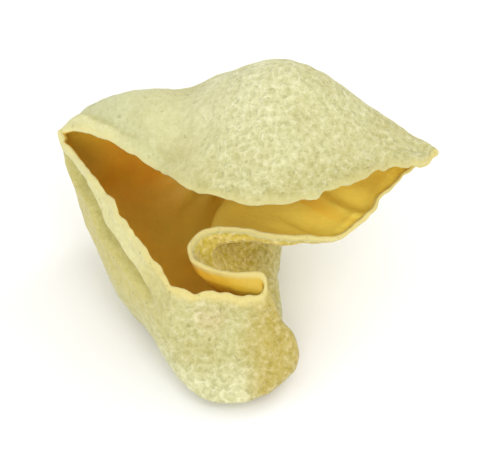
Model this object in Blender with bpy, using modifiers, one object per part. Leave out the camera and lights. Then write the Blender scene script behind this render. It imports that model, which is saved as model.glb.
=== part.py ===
"""One dried wood ear mushroom: a thin fruit body that dried into a hooded cup.

The fruit body grew as one piece, so it is one solid: an open, wavy cup whose wall has the same
thickness all over. Seen from the front (-Y), a leaf-shaped hood rises at the back and leans forward
over an open mouth, the wall below the mouth has one deep pleat, and the right-hand side flares out
into a shallow lobe. Low on the back stands the stub where the ear was cut from its wood. The origin
is on the small flat patch that the cup rests on, with +Z up.
"""

import bpy
from mathutils import Vector

MM = 0.001  # the cage is written in millimetres

WALL = 1.3 * MM  # thickness of the dried flesh
SUBDIVISIONS = 2

# The foot, the flat patch under the cup: two rings around its centre, each a share of the way out to
# the low ring of the cage.
FOOT_CENTRE = Vector((-3.0, 2.0, 0.0))
FOOT_SHARES = (0.42, 0.68)

# The cage of the outer face. Each spoke climbs from the foot to the rim through four points: low,
# waist, shoulder and rim. The spokes run from the left-hand tip of the mouth along its lower lip to
# the right-hand tip, and back along the lip of the hood.
SPOKES = [
    # low            waist          shoulder         rim
    ((-20.5, 11, 3), (-26.5, 13, 9), (-29.5, 14, 15.5), (-30, 13.2, 21.4)),  # left tip
    ((-22, 2, 3.5), (-25, 3.5, 9), (-25.5, 5.5, 15), (-23, 5.8, 21)),  # left wall
    ((-20, -5, 3.5), (-22.5, -4.5, 8.5), (-21, -4, 14.5), (-18.8, -3.2, 20)),
    ((-14, -12, 3), (-16, -12, 8.5), (-17, -11, 14), (-15, -10.2, 18.9)),
    ((-11.5, -20.5, 2), (-13, -18.5, 8), (-14.5, -17.5, 13), (-12.2, -17.4, 16.9)),  # front corner
    ((-7, -28.5, 1.5), (-6, -23, 7), (-7, -19, 12), (-5.5, -16, 16.8)),
    ((1.5, -28.5, 1.5), (1, -23, 7), (0.5, -19.5, 12), (0.5, -17.4, 15.8)),
    ((8, -24.5, 2.5), (8.5, -20.5, 7.5), (6.5, -18, 12), (4.4, -16.6, 16.2)),  # pleat, front fold
    ((9.5, -21, 3), (9.5, -18, 8.3), (6.5, -15.5, 12.8), (4.2, -11.6, 18.2)),
    ((10, -18, 3.5), (8, -15.5, 8.8), (2.5, -13.5, 13.2), (-2.5, -12.9, 17.2)),
    ((9.5, -15.5, 4), (3, -12.5, 9.3), (-5.5, -10, 14), (-9.8, -8.2, 18.9)),  # pleat, its end
    ((9, -13, 4.5), (-4, -7.5, 13), (-6, -6, 16.5), (-4.8, -4.4, 20)),
    ((8.5, -9.5, 5), (-8.5, -2, 15), (0, -6, 16.5), (2, -6.6, 20)),  # pleat, back fold
    ((8, -6, 5.5), (-9.5, 3, 16), (6, -5.5, 15.5), (8.5, -7.8, 19.3)),  # right lip
    ((8, -2, 6), (-8.5, 8, 17), (12.5, -4.5, 15.8), (15, -7, 18.9)),
    ((8, 2, 6.5), (-5, 12, 18), (17.5, -1.5, 16.5), (19.8, -4, 19.6)),
    ((8, 7, 7), (1, 15, 18.5), (22, 4.5, 18), (23.9, 3, 21.8)),
    ((8, 11, 7.5), (7.5, 16.5, 19), (27, 11.5, 20), (30.8, 8.8, 22.4)),  # right tip
    ((8, 13.5, 8), (11.5, 18, 20), (30.5, 12.5, 25), (33.4, 6, 25.4)),
    ((8, 16, 8), (14.5, 19.5, 21), (27.5, 13.5, 28), (29.2, 2.2, 24.8)),  # hood
    ((6, 18.5, 8), (13.5, 22, 24), (18.5, 13, 33.5), (21, 2, 28.8)),
    ((3, 21, 7.5), (9.5, 28, 25), (10, 14, 42.5), (14, -4.5, 27)),
    ((-2.5, 30, 8.5), (0.5, 25, 25), (1.5, 15, 43), (5, -7, 27.3)),  # stub, low on the back
    ((-8, 21.5, 6.5), (-7.5, 28, 22), (-8, 12.5, 32.5), (-4.5, -6, 27.5)),
    ((-13.5, 20, 6), (-14, 23, 20), (-15, 16, 33), (-12.5, 0.8, 26.6)),
    ((-16.5, 17.5, 5), (-20, 21.5, 17), (-23.5, 18.5, 30.5), (-21, 9.8, 25.8)),
    ((-19, 14.5, 4), (-24.5, 17.5, 12.5), (-28.8, 17.5, 23.5), (-29.8, 14, 25.3)),
]


def clear_scene():
    for obj in list(bpy.data.objects):
        bpy.data.objects.remove(obj)


def flesh_material():
    material = bpy.data.materials.new("velvet_cream")
    material.use_nodes = True
    shader = material.node_tree.nodes["Principled BSDF"]
    shader.inputs["Base Color"].default_value = (0.76, 0.69, 0.40, 1.0)
    shader.inputs["Roughness"].default_value = 0.85
    shader.inputs["Metallic"].default_value = 0.0
    return material


def cage_rings():
    """Rings of one point per spoke, from the innermost ring of the foot up to the rim."""
    rings = []
    for share in FOOT_SHARES:
        ring = []
        for low, _, _, _ in SPOKES:
            under = Vector((low[0], low[1], 0.0))
            ring.append(FOOT_CENTRE.lerp(under, share))
        rings.append(ring)
    for points in zip(*SPOKES):
        rings.append([Vector(point) for point in points])
    return rings


def cage_mesh():
    """The open cage: a fan around the foot's centre, then a band of quads between each two rings."""
    rings = cage_rings()
    count = len(SPOKES)
    points = [FOOT_CENTRE]
    for ring in rings:
        points.extend(ring)
    faces = []
    for i in range(count):
        j = (i + 1) % count
        faces.append((0, 1 + j, 1 + i))
        for band in range(len(rings) - 1):
            lower = 1 + band * count
            upper = lower + count
            faces.append((lower + i, lower + j, upper + j, upper + i))
    mesh = bpy.data.meshes.new("ear")
    mesh.from_pydata([point * MM for point in points], [], faces)
    return mesh


def make_ear():
    """The cage rounded by subdivision, with the wall's thickness grown inwards."""
    ear = bpy.data.objects.new("ear", cage_mesh())
    ear.data.materials.append(flesh_material())
    smooth = ear.modifiers.new("smooth", "SUBSURF")
    smooth.levels = SUBDIVISIONS
    smooth.render_levels = SUBDIVISIONS
    wall = ear.modifiers.new("wall", "SOLIDIFY")
    wall.thickness = WALL
    wall.offset = -1.0
    ear.data.shade_smooth()
    return ear


def main():
    clear_scene()
    collection = bpy.data.collections.new("wood_ear_mushroom")
    bpy.context.scene.collection.children.link(collection)
    collection.objects.link(make_ear())


main()
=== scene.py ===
"""The looks of one dried wood ear mushroom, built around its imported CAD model.

The ear is one closed mesh. Its outer face follows the same spline cage as the CAD solid, and formulas
add what drying does to the flesh: slow waves, creases beside the lips, a crinkled rim, puckers around
the cut stub and a granular felt. Lengths are millimetres until the mesh is made, and metres for the
floor, the lights and the camera.
"""

import itertools
import math

import bpy
import numpy as np
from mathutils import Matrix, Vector


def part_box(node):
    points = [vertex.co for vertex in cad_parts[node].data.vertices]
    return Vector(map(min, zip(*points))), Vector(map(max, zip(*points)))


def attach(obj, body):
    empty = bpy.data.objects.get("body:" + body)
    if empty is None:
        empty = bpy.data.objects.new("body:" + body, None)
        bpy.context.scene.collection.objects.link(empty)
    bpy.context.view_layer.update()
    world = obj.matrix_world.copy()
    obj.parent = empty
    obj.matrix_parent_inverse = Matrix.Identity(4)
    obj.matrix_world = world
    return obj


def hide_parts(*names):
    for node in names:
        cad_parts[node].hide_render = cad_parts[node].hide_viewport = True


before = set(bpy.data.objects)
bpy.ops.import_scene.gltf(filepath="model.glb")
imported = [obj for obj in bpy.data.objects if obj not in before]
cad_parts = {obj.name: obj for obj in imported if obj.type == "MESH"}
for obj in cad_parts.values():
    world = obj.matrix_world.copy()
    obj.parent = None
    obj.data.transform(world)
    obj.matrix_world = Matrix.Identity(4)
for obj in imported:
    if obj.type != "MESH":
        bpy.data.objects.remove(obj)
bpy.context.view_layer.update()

MM = 0.001

# ---------------------------------------------------------------- the cage, as in the CAD model

FOOT_CENTRE = np.array((-3.0, 2.0, 0.0))
FOOT_SHARES = (0.42, 0.68)

# Each spoke climbs from the foot to the rim: low, waist, shoulder and rim.
SPOKES = [
    ((-20.5, 11, 3), (-26.5, 13, 9), (-29.5, 14, 15.5), (-30, 13.2, 21.4)),  # left tip
    ((-22, 2, 3.5), (-25, 3.5, 9), (-25.5, 5.5, 15), (-23, 5.8, 21)),  # left wall
    ((-20, -5, 3.5), (-22.5, -4.5, 8.5), (-21, -4, 14.5), (-18.8, -3.2, 20)),
    ((-14, -12, 3), (-16, -12, 8.5), (-17, -11, 14), (-15, -10.2, 18.9)),
    ((-11.5, -20.5, 2), (-13, -18.5, 8), (-14.5, -17.5, 13), (-12.2, -17.4, 16.9)),  # front corner
    ((-7, -28.5, 1.5), (-6, -23, 7), (-7, -19, 12), (-5.5, -16, 16.8)),
    ((1.5, -28.5, 1.5), (1, -23, 7), (0.5, -19.5, 12), (0.5, -17.4, 15.8)),
    ((8, -24.5, 2.5), (8.5, -20.5, 7.5), (6.5, -18, 12), (4.4, -16.6, 16.2)),  # pleat, front fold
    ((9.5, -21, 3), (9.5, -18, 8.3), (6.5, -15.5, 12.8), (4.2, -11.6, 18.2)),
    ((10, -18, 3.5), (8, -15.5, 8.8), (2.5, -13.5, 13.2), (-2.5, -12.9, 17.2)),
    ((9.5, -15.5, 4), (3, -12.5, 9.3), (-5.5, -10, 14), (-9.8, -8.2, 18.9)),  # pleat, its end
    ((9, -13, 4.5), (-4, -7.5, 13), (-6, -6, 16.5), (-4.8, -4.4, 20)),
    ((8.5, -9.5, 5), (-8.5, -2, 15), (0, -6, 16.5), (2, -6.6, 20)),  # pleat, back fold
    ((8, -6, 5.5), (-9.5, 3, 16), (6, -5.5, 15.5), (8.5, -7.8, 19.3)),  # right lip
    ((8, -2, 6), (-8.5, 8, 17), (12.5, -4.5, 15.8), (15, -7, 18.9)),
    ((8, 2, 6.5), (-5, 12, 18), (17.5, -1.5, 16.5), (19.8, -4, 19.6)),
    ((8, 7, 7), (1, 15, 18.5), (22, 4.5, 18), (23.9, 3, 21.8)),
    ((8, 11, 7.5), (7.5, 16.5, 19), (27, 11.5, 20), (30.8, 8.8, 22.4)),  # right tip
    ((8, 13.5, 8), (11.5, 18, 20), (30.5, 12.5, 25), (33.4, 6, 25.4)),
    ((8, 16, 8), (14.5, 19.5, 21), (27.5, 13.5, 28), (29.2, 2.2, 24.8)),  # hood
    ((6, 18.5, 8), (13.5, 22, 24), (18.5, 13, 33.5), (21, 2, 28.8)),
    ((3, 21, 7.5), (9.5, 28, 25), (10, 14, 42.5), (14, -4.5, 27)),
    ((-2.5, 30, 8.5), (0.5, 25, 25), (1.5, 15, 43), (5, -7, 27.3)),  # stub, low on the back
    ((-8, 21.5, 6.5), (-7.5, 28, 22), (-8, 12.5, 32.5), (-4.5, -6, 27.5)),
    ((-13.5, 20, 6), (-14, 23, 20), (-15, 16, 33), (-12.5, 0.8, 26.6)),
    ((-16.5, 17.5, 5), (-20, 21.5, 17), (-23.5, 18.5, 30.5), (-21, 9.8, 25.8)),
    ((-19, 14.5, 4), (-24.5, 17.5, 12.5), (-28.8, 17.5, 23.5), (-29.8, 14, 25.3)),
]

# Places around the ear, as spoke numbers.
AROUND = len(SPOKES)
LEFT_TIP = 26.5
FRONT_CORNER = 4.0
PLEAT_TURN = 7.5
PLEAT_END = 10.0
RIGHT_TIP = 18.0
HOOD_MIDDLE = 22.0
CLIMB = 6  # spans from the foot's centre to the rim

# ---------------------------------------------------------------- the mesh's grid

COLUMNS = 432  # points around the ear
WALL_ROWS = 109  # rows from the foot to the rim, on each face
RIM_ROWS = 6  # rows around the rim's rounded edge

WALL = 1.3  # thickness of the dried flesh
RIM_WALL = 0.75  # and at the rim
RIM_TAPER = 3.0  # how far from the rim the wall starts to thin
FOLD_ROOM = 0.85  # the share of a fold's radius that the wall may fill


def spline_weights(places, count, wraps):
    """Weights of uniform cubic B-spline points: one row for each place, one column for each point."""
    spans = np.floor(places).astype(int)
    if not wraps:
        spans = np.minimum(spans, count - 4)
    t = places - spans
    shares = (
        (1 - t) ** 3,
        3 * t**3 - 6 * t**2 + 4,
        1 + 3 * t + 3 * t**2 - 3 * t**3,
        t**3,
    )
    weights = np.zeros((len(places), count))
    rows = np.arange(len(places))
    for step, share in enumerate(shares):
        columns = (spans + step - 1) % count if wraps else spans + step
        weights[rows, columns] += share / 6
    return weights


def cage_rings():
    """The cage's rings from the foot's centre to the rim, with one more past each end."""
    spokes = np.array(SPOKES, float)
    under = spokes[:, 0] * (1, 1, 0)
    centre = np.broadcast_to(FOOT_CENTRE, under.shape)
    rings = [centre]
    for share in FOOT_SHARES:
        rings.append(FOOT_CENTRE + (under - FOOT_CENTRE) * share)
    rings.extend(spokes.transpose(1, 0, 2))
    rings.insert(0, 2 * centre - rings[1])
    rings.append(2 * rings[-1] - rings[-2])
    return np.stack(rings)


def smooth_face(around, climb):
    """Points of the smooth outer face: one row for each climb, one column for each place around."""
    rings = cage_rings()
    by_row = spline_weights(climb, len(rings), wraps=False)
    by_column = spline_weights(around, AROUND, wraps=True)
    return np.einsum("rk,cs,ksx->rcx", by_row, by_column, rings)


def even_places(steps, places, count):
    """count places whose steps, given between each two of places, add up to equal lengths."""
    travelled = np.concatenate(([0.0], np.cumsum(steps)))
    return np.interp(np.linspace(0, travelled[-1], count), travelled, places)


def grid_places():
    """Places around and up the wall that space the mesh's points evenly."""
    around = np.linspace(0, AROUND, 1351)
    climb = np.linspace(0, CLIMB, 301)
    face = smooth_face(around % AROUND, climb)
    upper = face[len(climb) // 2 :]
    sideways = np.linalg.norm(np.diff(upper, axis=1), axis=2).mean(axis=0)
    upwards = np.linalg.norm(np.diff(face, axis=0), axis=2).mean(axis=1)
    columns = even_places(sideways, around, COLUMNS + 1)[:-1]
    rows = even_places(upwards, climb, WALL_ROWS + 1)
    return columns, rows


# ---------------------------------------------------------------- noise and masks

LATTICE = 48  # lattice cells before the noise repeats


def noise(points, wavelength, seed):
    """Smooth noise from -1 to 1: random numbers on a lattice, blended between its corners."""
    table = np.random.default_rng(seed).uniform(-1, 1, (LATTICE,) * 3)
    places = points / wavelength
    cells = np.floor(places).astype(int)
    t = places - cells
    blend = t * t * t * (t * (6 * t - 15) + 10)
    total = np.zeros(points.shape[:-1])
    for corner in itertools.product((0, 1), repeat=3):
        weight = np.where(corner, blend, 1 - blend).prod(axis=-1)
        x, y, z = np.moveaxis((cells + corner) % LATTICE, -1, 0)
        total += table[x, y, z] * weight
    return total


def fade(values, start, end):
    """0 before start, 1 after end, and smooth between them. It runs down if end is under start."""
    t = np.clip((values - start) / (end - start), 0, 1)
    return t * t * (3 - 2 * t)


def bump(values, middle, width):
    """A smooth hump of height 1 at middle, one width wide to each side at a third of its height."""
    return np.exp(-(((values - middle) / width) ** 2))


def stretch(around, start, end, soft):
    """1 between two places around the ear, counted upwards and past the last spoke, soft at its ends."""
    length = (end - start) % AROUND
    travelled = (around - start + AROUND / 4) % AROUND - AROUND / 4
    return fade(travelled, 0, soft) * fade(travelled, length, length - soft)


def unit(vectors):
    return vectors / np.linalg.norm(vectors, axis=-1, keepdims=True)


# ---------------------------------------------------------------- the wall


class Wall:
    """The smooth wall on the mesh's grid, with what the reliefs and the colours are worked out from.

    around, climb: each column's place around the ear, and each row's place up the wall, in the cage
    face, out, upward: the outer face's points, and its directions outwards and up the wall
    bend: how sharply the wall is domed at each point, the sharper of its two ways
    to_rim, rim: each point's distance from the rim along the wall, and the point of the rim above it
    off_foot: 0 on the foot, 1 above it
    """

    def __init__(self):
        self.around, self.climb = grid_places()
        self.face = smooth_face(self.around, self.climb)
        sideways = np.roll(self.face, -1, axis=1) - np.roll(self.face, 1, axis=1)
        upwards = np.gradient(self.face, axis=0)
        out = np.cross(sideways, upwards)
        out[0] = (0, 0, -1)
        self.out = unit(out)
        self.upward = unit(upwards)
        self.bend = self.sharpest_bend(sideways, upwards)
        steps = np.linalg.norm(np.diff(self.face, axis=0), axis=2)
        from_foot = np.concatenate((np.zeros((1, COLUMNS)), np.cumsum(steps, axis=0)))
        self.to_rim = from_foot[-1] - from_foot
        self.rim = np.broadcast_to(self.face[-1], self.face.shape)
        self.off_foot = fade(self.face[..., 2], 0.1, 3.0)

    def spread(self, width, seed):
        """Noise drawn out up the wall, into strips that many spokes wide."""
        across = self.around[None, :, None] * np.array((1.0, 0.0, 0.0))
        return noise(across + self.face * 0.03, width, seed)

    def sharpest_bend(self, sideways, upwards):
        """How sharply the wall is domed, in radians a millimetre, and 0 where its outer side is hollow."""
        turn_sideways = np.roll(self.out, -1, axis=1) - np.roll(self.out, 1, axis=1)
        turn_upwards = np.gradient(self.out, axis=0)
        bend_sideways = (turn_sideways * sideways).sum(axis=2) / (sideways**2).sum(axis=2).clip(1e-3)
        bend_upwards = (turn_upwards * upwards).sum(axis=2) / (upwards**2).sum(axis=2).clip(1e-3)
        return np.maximum(bend_sideways, bend_upwards).clip(0)


def calm(wall):
    """1 over most of the wall, and near 0 at the rim's tight folds, where there is no room to wave."""
    folds = sum(bump(wall.around, fold, 0.8) for fold in (PLEAT_TURN, RIGHT_TIP - 0.4, LEFT_TIP))
    return 1 - 0.85 * np.clip(folds, 0, 1) * fade(wall.to_rim, 9.0, 4.0)


def band_width(wall):
    """The width of the pale band beside the rim: it widens from the left tip to the front corner."""
    along = (wall.around - LEFT_TIP) % AROUND
    low_wall = fade(along, 0.5, FRONT_CORNER - 0.5) * (along < AROUND / 2)
    return 3.2 + 2.2 * low_wall


def creases(wall):
    """Grooves that run beside the lips, a few millimetres in, with the lip flared beyond them."""
    wander = 0.7 * noise(wall.rim, 7.0, 11) + 0.4 * noise(wall.rim, 3.0, 12)
    left = stretch(wall.around, LEFT_TIP, FRONT_CORNER, 1.2)
    wing = stretch(wall.around, HOOD_MIDDLE + 0.8, LEFT_TIP, 1.0)
    left_crease = band_width(wall) + wander
    groove = -1.2 * left * bump(wall.to_rim, left_crease, 0.8)
    groove += 0.5 * left * bump(wall.to_rim, left_crease + 1.5, 0.8)
    groove -= 0.45 * wing * bump(wall.to_rim, 4.2 + wander, 0.9)
    flare = 0.55 * (left + wing) * fade(wall.to_rim, 2.8, 0.3)
    return groove + flare


STUB = np.array((-2.3, 26.0, 8.6))  # the middle of the cut stub


def stub_distance(wall):
    return np.linalg.norm(wall.face - STUB, axis=2)


def slow_waves(wall):
    """The waves that both faces share, with the ribs that run out from the stub."""
    wide = 0.8 * noise(wall.face, 15.0, 21) + 0.45 * noise(wall.face, 7.5, 22)
    distance = stub_distance(wall)
    direction = unit(wall.face - STUB)
    ribs = 0.55 * noise(direction, 0.22, 23) * fade(distance, 3.0, 9.0) * fade(distance, 34.0, 14.0)
    return (wide + ribs) * wall.off_foot


def hood_valley(wall):
    """The shallow valley between the hood's flat left wing and its dome."""
    x, y, _ = np.moveaxis(wall.face, -1, 0)
    across = x + 11.0 - 0.25 * (y - 8.0)
    on_hood = stretch(wall.around, HOOD_MIDDLE - 0.5, LEFT_TIP, 1.0) * fade(wall.climb[:, None], 4.0, 4.8)
    return -0.9 * bump(across, 0.0, 2.8) * on_hood


def stub_relief(wall):
    """A pinched stub: puckers that run out from it, a swollen collar, and a torn hollow in its end."""
    away = wall.face - STUB
    distance = stub_distance(wall)
    angle = np.arctan2(away[..., 2], away[..., 0])
    puckers = np.sin(9 * angle + 2.5 * noise(wall.face, 6.0, 31))
    puckers *= 0.45 * bump(distance, 5.5, 3.5)
    collar = 0.7 * bump(distance, 2.6, 1.2)
    torn = -0.9 * fade(distance, 2.0, 0.8) + 0.3 * fade(distance, 2.2, 0.5) * noise(wall.face, 0.9, 32)
    return puckers + collar + torn


def rim_crinkle(wall):
    """How far the rim waves outwards, and how far its edge comes and goes along the wall.

    The lip is most ragged on the right half of the hood, and the right-hand tip is drawn in, so that it
    ends blunt.
    """
    ragged = stretch(wall.around, RIGHT_TIP - 0.5, RIGHT_TIP + 4.0, 1.0)
    left = stretch(wall.around, LEFT_TIP + 1.0, FRONT_CORNER, 1.0)
    strength = 0.8 + 0.8 * ragged + 0.4 * left
    near = fade(wall.to_rim, 4.0, 0.0)
    outwards = strength * near * (0.45 * noise(wall.rim, 3.4, 41) + 0.25 * noise(wall.rim, 1.6, 42))
    along = strength * near * (0.40 * noise(wall.rim, 2.3, 43) + 0.32 * noise(wall.rim, 1.2, 44))
    blunt = -2.4 * bump(wall.around, RIGHT_TIP + 0.2, 0.9) * fade(wall.to_rim, 9.0, 0.0)
    return outwards, along + blunt


def felt_relief(wall):
    """The grain of the outer face that is coarse enough for the mesh."""
    grain = 0.12 * noise(wall.face, 2.6, 51) + 0.10 * noise(wall.face, 1.3, 52)
    pits = -0.25 * fade(noise(wall.face, 3.2, 53), 0.35, 0.8)
    ragged = stretch(wall.around, RIGHT_TIP - 0.5, RIGHT_TIP + 4.0, 1.0) * fade(wall.to_rim, 7.0, 1.0)
    knobs = 0.45 * ragged * noise(wall.face, 1.9, 54)
    front_lip = stretch(wall.around, FRONT_CORNER, PLEAT_TURN, 0.8) * fade(wall.to_rim, 3.0, 1.0)
    rolled = front_lip * (0.25 + 0.3 * noise(wall.face, 1.6, 55))
    return (grain + pits + knobs + rolled) * wall.off_foot


def skin_relief(wall):
    """The folds of the inner face: fine ones that run up to the rim, and soft dents."""
    fine = 0.14 * wall.spread(0.28, 61) * fade(wall.to_rim, 16.0, 4.0)
    lobe = stretch(wall.around, 13.0, RIGHT_TIP, 1.0) * fade(wall.to_rim, 14.0, 6.0)
    pleats = 0.8 * lobe * wall.spread(0.5, 63)
    dents = 0.15 * noise(wall.face, 5.0, 62)
    return (fine + pleats) * fade(wall.to_rim, 0.5, 3.0) + dents


def wall_depth(wall):
    """How far the inner face lies under the outer one: less where a fold leaves it no room."""
    thinner = fade(wall.to_rim, RIM_TAPER, 0.0) * (1 - 1.2 * bump(wall.around, LEFT_TIP, 1.5))
    depth = WALL + (RIM_WALL - WALL) * thinner + 0.12 * noise(wall.face, 6.0, 71) + skin_relief(wall)
    return depth / (1 + (depth * wall.bend / FOLD_ROOM) ** 4) ** 0.25


def shaped_faces(wall):
    """The outer face, the inner face and the rim between them, each as rows of points."""
    outwards, along = rim_crinkle(wall)
    waves = slow_waves(wall) + hood_valley(wall) + creases(wall) + outwards
    both = waves * calm(wall) + stub_relief(wall)
    middle = wall.face + wall.out * both[..., None] + wall.upward * along[..., None]
    outer = middle + wall.out * felt_relief(wall)[..., None]
    outer[..., 2] = np.maximum(outer[..., 2], 0.0)
    inner = middle - wall.out * wall_depth(wall)[..., None]
    edge_middle = (outer[-1] + inner[-1]) / 2
    half = (outer[-1] - inner[-1]) / 2
    rim = []
    for row in range(1, RIM_ROWS + 1):
        turn = math.pi * row / (RIM_ROWS + 1)
        bulge = wall.upward[-1] * np.linalg.norm(half, axis=1, keepdims=True) * math.sin(turn)
        rim.append(edge_middle + half * math.cos(turn) + bulge)
    return outer, np.stack(rim), inner


# ---------------------------------------------------------------- the mesh and its colour masks


def skin_masks(wall):
    """Where the inner face is orange-brown instead of golden, with painted light and shade in it, and its
    darker painted shade in the recesses.
    """
    x, y, z = np.moveaxis(wall.face, -1, 0)
    climb = wall.climb[:, None] + 0.1 * noise(wall.face, 4.0, 82)
    shelf = stretch(wall.around, PLEAT_END + 0.4, RIGHT_TIP + 1.5, 0.7) * fade(climb, 3.75, 4.1)
    # Painted shade: darker streaks across the shelf stand in for the shade of its radial folds.
    fold_shade_streaks = shelf * stretch(wall.around, 13.5, RIGHT_TIP, 1.0) * fade(wall.spread(0.45, 86), 0.1, 0.6)
    # Painted light: the cup's low part and its back wall beside the step up to the shelf are painted
    # golden, to look lit.
    bottom_painted_light = 0.55 * fade(z, 10.0, 3.0)
    ridge_painted_light = 0.8 * fade(x, -15.0, -8.0) * fade(y, 2.0, 8.0)
    deep_tone_and_painted_light = (1 - shelf) * (1 - np.maximum(bottom_painted_light, ridge_painted_light)) + 0.35 * fold_shade_streaks
    # Painted shade: the cup under the left tip and low behind the pleat's front fold is painted darker
    # brown.
    left_tip = 0.8 * fade(x, -21.0, -28.0)
    pleat_back = stretch(wall.around, FRONT_CORNER + 1.0, PLEAT_END, 1.5) * fade(wall.to_rim, 13.0, 6.0)
    return {
        "deep_tone_and_painted_light": np.clip(deep_tone_and_painted_light + 0.2 * noise(wall.face, 6.0, 81), 0, 1),
        "olive_shade": np.maximum(left_tip, pleat_back),
    }


def lip_masks(wall):
    """The bands along the rim: the yellow line, the pale band and the painted shade in the fold along it,
    and the pinkish blush.
    """
    front_lip = stretch(wall.around, FRONT_CORNER - 0.5, PLEAT_TURN, 0.8)
    line = fade(wall.to_rim, 1.0 + 0.9 * front_lip, 0.2)
    pale = stretch(wall.around, HOOD_MIDDLE + 2.0, FRONT_CORNER - 0.3, 1.2)
    band = band_width(wall) - 0.4 + 0.7 * noise(wall.rim, 7.0, 11)
    hood_lip = stretch(wall.around, RIGHT_TIP + 0.5, LEFT_TIP, 1.0)
    under_lip = stretch(wall.around, FRONT_CORNER - 0.5, PLEAT_TURN - 0.5, 1.0)
    blush = under_lip * bump(wall.to_rim, 4.5, 2.5) * fade(noise(wall.face, 5.0, 87), -0.4, 0.4)
    grainy = 0.4 + 0.6 * fade(wall.face[..., 0] - 0.4 * wall.face[..., 2], -22.0, -12.0)
    return {
        "rim": line * (1 - 0.7 * np.maximum(pale, hood_lip)),
        "pale": pale * fade(wall.to_rim, band + 0.4, band - 0.4),
        # Painted shade: the fold beside the pale band is painted darker.
        "crease_shade": 0.7 * pale * bump(wall.to_rim, band + 0.5, 0.6),
        "blush": 0.7 * blush,
        "coarse": grainy * (1 - 0.8 * line),
    }


def area_masks(wall):
    """The larger areas of the outer face that differ in colour, some of them painted light and shade, and
    the scar on the stub.
    """
    x, y, z = np.moveaxis(wall.face, -1, 0)
    # Its own yellowish tone, darkened with painted shade below the front lip.
    front_right = fade(y, -9.0, -14.0) * fade(x + noise(wall.face, 5.0, 85), -1.5, 4.5)
    ragged_around = wall.around + 0.7 * noise(wall.face, 6.0, 89)
    groove = stretch(ragged_around, PLEAT_TURN, PLEAT_END + 7.5, 3.5) * fade(wall.to_rim, 0.5, 1.3)
    groove = groove * fade(z + 2.0 * noise(wall.face, 5.0, 90), 2.0, 11.0)
    on_hood = stretch(wall.around, RIGHT_TIP + 1.0, LEFT_TIP - 0.5, 1.0)
    # Painted light: the hood's top and the low front of the wall are painted paler, to look lit.
    crest = on_hood * fade(z, 27.0, 33.0) * (1 - 0.65 * fade(x, 3.0, 11.0))
    front_foot = 0.8 * fade(y, -12.0, -17.0) * fade(z, 9.0, 4.0)
    rays = 0.7 * noise(unit(wall.face - STUB), 0.4, 84) + 0.6 * noise(wall.face, 1.6, 91)
    return {
        "left": fade(x, -6.0, -24.0) * fade(z, 21.0, 25.0),
        "low_left": stretch(wall.around, LEFT_TIP, FRONT_CORNER, 1.0) * fade(z, 6.0, 12.0),
        "painted_light": np.maximum(crest, front_foot) * (0.75 + 0.25 * noise(wall.face, 4.0, 88)),
        "ochre_and_shade": 0.9 * front_right * fade(z, 21.0, 15.0),
        "groove": 0.9 * groove,
        "scar": fade(stub_distance(wall) + rays, 4.6, 1.6),
    }


def closed_grid(first, rows, last):
    """Points and faces of a closed surface: a fan, rows that wrap around, and a fan again."""
    count = rows.shape[1]
    points = np.concatenate(([first], rows.reshape(-1, 3), [last]))
    faces = []
    here = np.arange(count)
    after = (here + 1) % count
    faces.extend(zip([0] * count, (1 + after).tolist(), (1 + here).tolist()))
    for row in range(len(rows) - 1):
        lower = 1 + row * count
        upper = lower + count
        faces.extend(np.stack((lower + here, lower + after, upper + after, upper + here), 1).tolist())
    top = 1 + (len(rows) - 1) * count
    end = len(points) - 1
    faces.extend(zip((top + here).tolist(), (top + after).tolist(), [end] * count))
    return points, faces


def add_mask(mesh, name, values):
    attribute = mesh.attributes.new(name, "FLOAT", "POINT")
    attribute.data.foreach_set("value", np.ascontiguousarray(values, np.float32))


def make_ear(wall, felt, skin):
    outer, rim, inner = shaped_faces(wall)
    rows = np.concatenate((outer[1:], rim, inner[:0:-1]))
    points, faces = closed_grid(outer[0, 0], rows, inner[0, 0])
    mesh = bpy.data.meshes.new("ear_fine")
    mesh.from_pydata((points * MM).tolist(), [], faces)
    mesh.materials.append(felt)
    mesh.materials.append(skin)
    felt_rows = WALL_ROWS + RIM_ROWS // 2
    felt_faces = COLUMNS * (felt_rows + 1)
    index = np.zeros(len(faces), np.int32)
    index[felt_faces:] = 1
    mesh.polygons.foreach_set("material_index", index)
    masks = skin_masks(wall) | lip_masks(wall) | area_masks(wall)
    for name, values in masks.items():
        edge = np.broadcast_to(values[-1], (RIM_ROWS, COLUMNS))
        every = np.concatenate((values[1:], edge, values[:0:-1]))
        flat = np.concatenate(([values[0, 0]], every.ravel(), [values[0, 0]]))
        add_mask(mesh, name, flat)
    mesh.shade_smooth()
    ear = bpy.data.objects.new("ear_fine", mesh)
    bpy.context.scene.collection.objects.link(ear)
    return ear


# ---------------------------------------------------------------- materials


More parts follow.
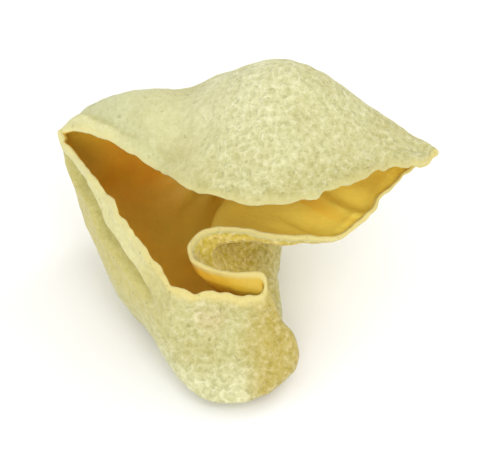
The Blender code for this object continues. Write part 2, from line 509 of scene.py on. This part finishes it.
class Nodes:
    """A new material's node tree, with short ways to add nodes and join them."""

    def __init__(self, name):
        self.material = bpy.data.materials.new(name)
        self.material.use_nodes = True
        self.tree = self.material.node_tree
        self.shader = self.tree.nodes["Principled BSDF"]
        self.place = self.add("ShaderNodeTexCoord").outputs["Object"]

    def add(self, kind, inputs=None, **settings):
        """A node with these settings, and with each input set to a value or joined to an output."""
        node = self.tree.nodes.new(kind)
        for name, value in settings.items():
            setattr(node, name, value)
        for name, value in (inputs or {}).items():
            self.set(node.inputs[name], value)
        return node

    def set(self, socket, value):
        if isinstance(value, bpy.types.NodeSocket):
            self.tree.links.new(value, socket)
        else:
            socket.default_value = value

    def noise(self, size, detail=3.0, roughness=0.55):
        """Noise from 0 to 1, with features about size millimetres wide."""
        inputs = {
            "Vector": self.place,
            "Scale": 1 / (size * MM),
            "Detail": detail,
            "Roughness": roughness,
        }
        return self.add("ShaderNodeTexNoise", inputs).outputs["Fac"]

    def cells(self, size):
        """Distance from the middles of soft cells about size millimetres wide."""
        inputs = {"Vector": self.place, "Scale": 1 / (size * MM), "Smoothness": 0.4}
        node = self.add("ShaderNodeTexVoronoi", inputs, feature="SMOOTH_F1")
        return node.outputs["Distance"]

    def mask(self, name):
        return self.add("ShaderNodeAttribute", attribute_name=name).outputs["Fac"]

    def ramp(self, value, low, high):
        """0 below low, 1 above high."""
        inputs = {"Value": value, "From Min": low, "From Max": high}
        return self.add("ShaderNodeMapRange", inputs, clamp=True).outputs["Result"]

    def math(self, operation, first, second):
        node = self.add("ShaderNodeMath", operation=operation)
        self.set(node.inputs[0], first)
        self.set(node.inputs[1], second)
        return node.outputs[0]

    def blend(self, share, first, second):
        """first where share is 0, second where it is 1."""
        node = self.add("ShaderNodeMix", data_type="RGBA")
        self.set(node.inputs["Factor"], share)
        self.set(node.inputs[6], first)
        self.set(node.inputs[7], second)
        return node.outputs[2]

    def tint(self, colour, share, saturation, value):
        """The colour with its saturation and brightness changed where share is 1."""
        inputs = {"Color": colour, "Fac": share, "Saturation": saturation, "Value": value}
        return self.add("ShaderNodeHueSaturation", inputs).outputs["Color"]

    def relief(self, height, depth, onto=None):
        """A bump of up to depth millimetres, added onto another."""
        inputs = {"Height": height, "Distance": depth * MM, "Strength": 1.0}
        if onto is not None:
            inputs["Normal"] = onto
        return self.add("ShaderNodeBump", inputs).outputs["Normal"]


# The sizes of the felt's grain, in millimetres.
GRAIN = 0.95
DOMES = 0.8
HAIRS = 0.28

CREAM = (0.500, 0.460, 0.195, 1)
PALE_CREAM = (0.560, 0.540, 0.270, 1)
LIP_CREAM = (0.680, 0.645, 0.320, 1)
# Painted light, for the hood's top and the low front of the wall.
PAINTED_LIGHT_CREAM = (0.660, 0.650, 0.380, 1)
# Painted shade, for the fold beside the pale band.
CREASE_SHADE_CREAM = (0.460, 0.420, 0.150, 1)
BLUISH_CREAM = (0.560, 0.590, 0.360, 1)
BLUSH = (0.600, 0.510, 0.270, 1)
YELLOW_CREAM = (0.530, 0.470, 0.170, 1)
RIM_YELLOW = (0.640, 0.550, 0.210, 1)
OLIVE_SPOT = (0.250, 0.210, 0.060, 1)
# A yellowish tone with painted shade, for the front wall below its lip.
OCHRE_AND_SHADE = (0.470, 0.370, 0.095, 1)
GROOVE_GOLD = (0.680, 0.520, 0.095, 1)
# Painted shade, darker brown, for the cup's recesses.
OLIVE_SHADE_BROWN = (0.610, 0.405, 0.033, 1)
GOLD = (0.920, 0.740, 0.115, 1)
ORANGE_BROWN = (0.900, 0.510, 0.030, 1)
RUST_BROWN = (0.860, 0.380, 0.030, 1)
SCAR_BROWN = (0.130, 0.060, 0.025, 1)


def felt_material():
    """The outer face: short pale felt, granular, mottled, yellower towards the lips, with painted light
    and shade.
    """
    nodes = Nodes("velvet_cream")
    mottle = nodes.ramp(nodes.noise(6.0), 0.35, 0.7)
    colour = nodes.blend(mottle, CREAM, PALE_CREAM)
    colour = nodes.blend(nodes.math("MULTIPLY", nodes.mask("left"), 0.6), colour, BLUISH_CREAM)
    # Painted light on the hood's top and the low front of the wall.
    colour = nodes.blend(nodes.mask("painted_light"), colour, PAINTED_LIGHT_CREAM)
    # Yellowish tone and painted shade below the front lip.
    colour = nodes.blend(nodes.mask("ochre_and_shade"), colour, OCHRE_AND_SHADE)
    colour = nodes.blend(nodes.mask("groove"), colour, GROOVE_GOLD)
    colour = nodes.blend(nodes.mask("low_left"), colour, YELLOW_CREAM)
    # Painted shade in the fold beside the pale band.
    colour = nodes.blend(nodes.mask("crease_shade"), colour, CREASE_SHADE_CREAM)
    colour = nodes.blend(nodes.math("MULTIPLY", nodes.mask("pale"), 0.8), colour, LIP_CREAM)
    colour = nodes.blend(nodes.mask("blush"), colour, BLUSH)
    colour = nodes.blend(nodes.mask("rim"), colour, RIM_YELLOW)
    grain = nodes.noise(GRAIN, detail=2.0, roughness=0.6)
    coarse = nodes.mask("coarse")
    low = nodes.math("MULTIPLY", nodes.ramp(grain, 0.50, 0.34), coarse)
    colour = nodes.tint(colour, low, saturation=1.12, value=0.84)
    high = nodes.math("MULTIPLY", nodes.ramp(grain, 0.53, 0.66), coarse)
    colour = nodes.tint(colour, high, saturation=0.86, value=1.17)
    specks = nodes.ramp(nodes.noise(1.2, detail=2.0), 0.66, 0.72)
    colour = nodes.blend(nodes.math("MULTIPLY", specks, 0.4), colour, OLIVE_SPOT)
    colour = nodes.blend(nodes.mask("scar"), colour, SCAR_BROWN)
    nodes.set(nodes.shader.inputs["Base Color"], colour)
    domes = nodes.math("SUBTRACT", 1.0, nodes.cells(DOMES))
    normal = nodes.relief(nodes.math("MULTIPLY", grain, coarse), 0.55)
    normal = nodes.relief(nodes.math("MULTIPLY", domes, coarse), 0.22, onto=normal)
    normal = nodes.relief(nodes.noise(HAIRS, detail=2.0), 0.06, onto=normal)
    nodes.set(nodes.shader.inputs["Normal"], normal)
    nodes.shader.inputs["Roughness"].default_value = 0.92
    nodes.shader.inputs["Specular IOR Level"].default_value = 0.25
    nodes.shader.inputs["Sheen Weight"].default_value = 0.2
    nodes.shader.inputs["Sheen Roughness"].default_value = 0.5
    return nodes.material


def skin_material():
    """The inner face: smooth dry skin, golden on the shallow lobe and orange-brown in the cup, with
    painted light and shade.
    """
    nodes = Nodes("golden_skin")
    # The cup's own orange-brown, with painted light and shade mixed into its mask.
    colour = nodes.blend(nodes.mask("deep_tone_and_painted_light"), GOLD, ORANGE_BROWN)
    patches = nodes.ramp(nodes.noise(5.0, detail=3.0), 0.48, 0.68)
    rust = nodes.math("MULTIPLY", patches, nodes.ramp(nodes.mask("deep_tone_and_painted_light"), 0.5, 1.0))
    colour = nodes.blend(nodes.math("MULTIPLY", rust, 0.5), colour, RUST_BROWN)
    # Painted shade in the cup's recesses.
    colour = nodes.blend(nodes.mask("olive_shade"), colour, OLIVE_SHADE_BROWN)
    mottle = nodes.ramp(nodes.noise(3.5, detail=4.0), 0.3, 0.75)
    colour = nodes.tint(colour, mottle, saturation=1.0, value=0.91)
    colour = nodes.blend(nodes.math("MULTIPLY", nodes.mask("rim"), 0.8), colour, RIM_YELLOW)
    nodes.set(nodes.shader.inputs["Base Color"], colour)
    nodes.set(nodes.shader.inputs["Normal"], nodes.relief(nodes.noise(0.8, detail=4.0), 0.10))
    gloss = nodes.add("ShaderNodeMapRange", {"Value": mottle, "To Min": 0.42, "To Max": 0.60})
    nodes.set(nodes.shader.inputs["Roughness"], gloss.outputs["Result"])
    nodes.shader.inputs["Specular IOR Level"].default_value = 0.4
    return nodes.material


def plain_material(name, colour, roughness):
    nodes = Nodes(name)
    nodes.shader.inputs["Base Color"].default_value = colour
    nodes.shader.inputs["Roughness"].default_value = roughness
    return nodes.material


# ---------------------------------------------------------------- floor, lights and camera

FLOOR_WIDTH = 4.0
ELEVATION = math.radians(45)
CAMERA_DISTANCE = 0.65
VIEW_WIDTH = 0.080  # how much the picture takes in at the ear
LOOK_BELOW = 0.003  # how far below the ear's middle the camera looks
SENSOR = 36.0  # millimetres
SKY = (1.0, 0.99, 0.97, 1)
SKY_STRENGTH = 0.96

# Each light's name, its place, its size, and its power in watts.
LIGHTS = (
    ("key", (0.20, -0.36, 0.75), 0.35, 0.8),
    ("front", (-0.08, -0.74, 0.38), 0.30, 1.9),
    ("back", (0.40, 0.50, 0.60), 0.35, 1.4),
)


def make_floor():
    bpy.ops.mesh.primitive_plane_add(size=FLOOR_WIDTH)
    floor = bpy.context.object
    floor.name = "floor"
    floor.data.materials.append(plain_material("pale_floor", (0.93, 0.93, 0.93, 1), 0.8))
    return floor


def aim(thing, target):
    thing.rotation_mode = "QUATERNION"
    thing.rotation_quaternion = (target - thing.location).to_track_quat("-Z", "Y")


def make_light(name, place, size, power, target):
    light = bpy.data.lights.new(name, "AREA")
    light.size = size
    light.energy = power
    thing = bpy.data.objects.new(name, light)
    bpy.context.scene.collection.objects.link(thing)
    thing.location = place
    aim(thing, target)


def make_lights(target):
    for name, place, size, power in LIGHTS:
        make_light(name, place, size, power, target)
    world = bpy.data.worlds.new("studio")
    world.use_nodes = True
    background = world.node_tree.nodes["Background"]
    background.inputs["Color"].default_value = SKY
    background.inputs["Strength"].default_value = SKY_STRENGTH
    bpy.context.scene.world = world


def make_camera(target):
    camera = bpy.data.objects.new("camera", bpy.data.cameras.new("camera"))
    bpy.context.scene.collection.objects.link(camera)
    away = Vector((0, -math.cos(ELEVATION), math.sin(ELEVATION)))
    camera.location = target + away * CAMERA_DISTANCE
    aim(camera, target)
    camera.data.sensor_width = SENSOR
    camera.data.lens = SENSOR * CAMERA_DISTANCE / VIEW_WIDTH
    camera.data.clip_start = 0.01
    bpy.context.scene.camera = camera


def main():
    low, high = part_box("ear")
    centre = (low + high) / 2
    target = centre - Vector((0, 0, LOOK_BELOW))
    make_camera(target)
    make_lights(target)
    make_floor()
    ear = make_ear(Wall(), felt_material(), skin_material())
    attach(ear, "root")
    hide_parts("ear")
    bpy.context.scene.view_settings.view_transform = "Standard"


main()
